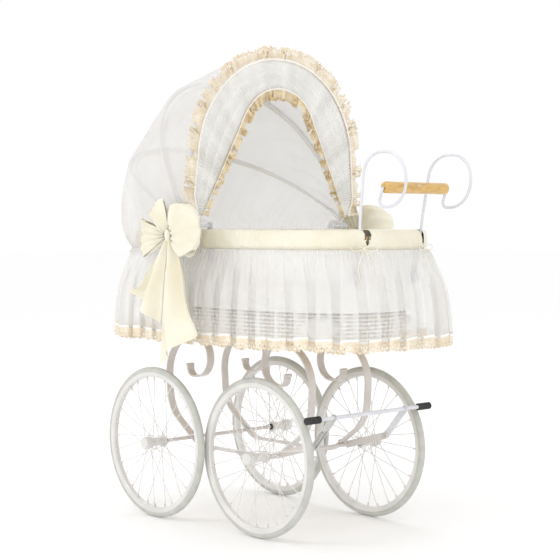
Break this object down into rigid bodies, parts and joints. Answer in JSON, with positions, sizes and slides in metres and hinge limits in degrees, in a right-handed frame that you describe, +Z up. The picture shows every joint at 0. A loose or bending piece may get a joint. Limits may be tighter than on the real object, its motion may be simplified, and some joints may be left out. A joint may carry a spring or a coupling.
{
  "type": "bassinet pram",
  "caption": "Retro wicker bassinet pram with spoked wheels, scroll-spring side frames, a gathered skirt, a folding frilled hood, a foot brake and a wooden push grip.",
  "frame": {"origin": "on the floor under the middle of the overall box", "axes": "+X to the handle end, -X to the hood end, +Y to the pusher's right, +Z up"},
  "size_m": [1.0625, 0.709, 1.2446],
  "materials": {
    "white_enamel": "gloss",
    "pale_tyre": "matt",
    "black_rubber": "matt",
    "zinc": "satin",
    "wicker": "satin",
    "plywood": "matt",
    "cream_satin": "sheen",
    "white_chiffon": "sheer",
    "ecru_lace": "matt",
    "white_cotton": "matt",
    "honey_wood": "varnished"
  },
  "bodies": {
    "chassis": {"front_axle": "white_enamel", "rear_axle": "white_enamel", "axle_washers": "black_rubber", "left_side_frame": "white_enamel", "right_side_frame": "white_enamel", "cross_rails": "white_enamel", "frame_bolts": "zinc", "brake_brackets": "white_enamel", "brake_pivot_bolts": "zinc", "brake_spring": "zinc", "wicker_basket": "wicker", "base_board": "plywood", "basket_liner": "white_cotton", "mattress": "white_cotton", "pillow": "white_cotton", "quilt": "cream_satin", "rim_pad": "cream_satin", "skirt": "white_chiffon", "hem_lace": "ecru_lace", "left_bow": "cream_satin", "right_bow": "cream_satin", "handle_ties": "cream_satin", "left_handle_rod": "white_enamel", "right_handle_rod": "white_enamel", "wooden_grip": "honey_wood", "grip_spindle": "zinc", "handle_clips": "white_enamel", "rear_hoop": "white_enamel", "rear_cover": "white_chiffon", "hood_pivots": "white_enamel"},
    "front_left_wheel": {"front_left_tyre": "pale_tyre", "front_left_rim": "white_enamel", "front_left_spokes": "white_enamel", "front_left_hub": "white_enamel", "front_left_cap": "white_enamel"},
    "front_right_wheel": {"front_right_tyre": "pale_tyre", "front_right_rim": "white_enamel", "front_right_spokes": "white_enamel", "front_right_hub": "white_enamel", "front_right_cap": "white_enamel"},
    "rear_left_wheel": {"rear_left_tyre": "pale_tyre", "rear_left_rim": "white_enamel", "rear_left_spokes": "white_enamel", "rear_left_hub": "white_enamel", "rear_left_cap": "white_enamel"},
    "rear_right_wheel": {"rear_right_tyre": "pale_tyre", "rear_right_rim": "white_enamel", "rear_right_spokes": "white_enamel", "rear_right_hub": "white_enamel", "rear_right_cap": "white_enamel"},
    "foot_brake": {"brake_levers": "white_enamel", "brake_bar": "white_enamel", "brake_pads": "black_rubber"},
    "hood_front": {"front_hoop": "white_enamel", "front_cover": "white_chiffon", "brim_band": "white_chiffon", "brim_outer_lace": "ecru_lace", "brim_inner_lace": "ecru_lace"},
    "hood_middle": {"middle_hoop": "white_enamel", "middle_cover": "white_chiffon"}
  },
  "joints": [
    {"name": "front_left_spin", "type": "hinge", "parent": "chassis", "child": "front_left_wheel", "pos_m": [-0.2658, -0.2247, 0.2], "axis": [0, 1, 0], "continuous": true},
    {"name": "front_right_spin", "type": "hinge", "parent": "chassis", "child": "front_right_wheel", "pos_m": [-0.2658, 0.2247, 0.2], "axis": [0, 1, 0], "continuous": true},
    {"name": "rear_left_spin", "type": "hinge", "parent": "chassis", "child": "rear_left_wheel", "pos_m": [0.1112, -0.1985, 0.2], "axis": [0, 1, 0], "continuous": true},
    {"name": "rear_right_spin", "type": "hinge", "parent": "chassis", "child": "rear_right_wheel", "pos_m": [0.1112, 0.1985, 0.2], "axis": [0, 1, 0], "continuous": true},
    {"name": "brake_press", "type": "hinge", "parent": "chassis", "child": "foot_brake", "pos_m": [0.2427, 0, 0.237], "axis": [0, -1, 0], "range_deg": [0, 22.5], "deforming": ["brake_spring"]},
    {"name": "hood_fold", "type": "hinge", "parent": "chassis", "child": "hood_front", "pos_m": [-0.0473, 0, 0.775], "axis": [0, -1, 0], "range_deg": [0, 60]},
    {"name": "hood_middle_fold", "type": "hinge", "parent": "chassis", "child": "hood_middle", "pos_m": [-0.0473, 0, 0.775], "axis": [0, -1, 0], "range_deg": [0, 30]}
  ],
  "couplings": [
    {"joint": "hood_middle_fold", "follows": "hood_fold", "ratio": 0.5}
  ]
}
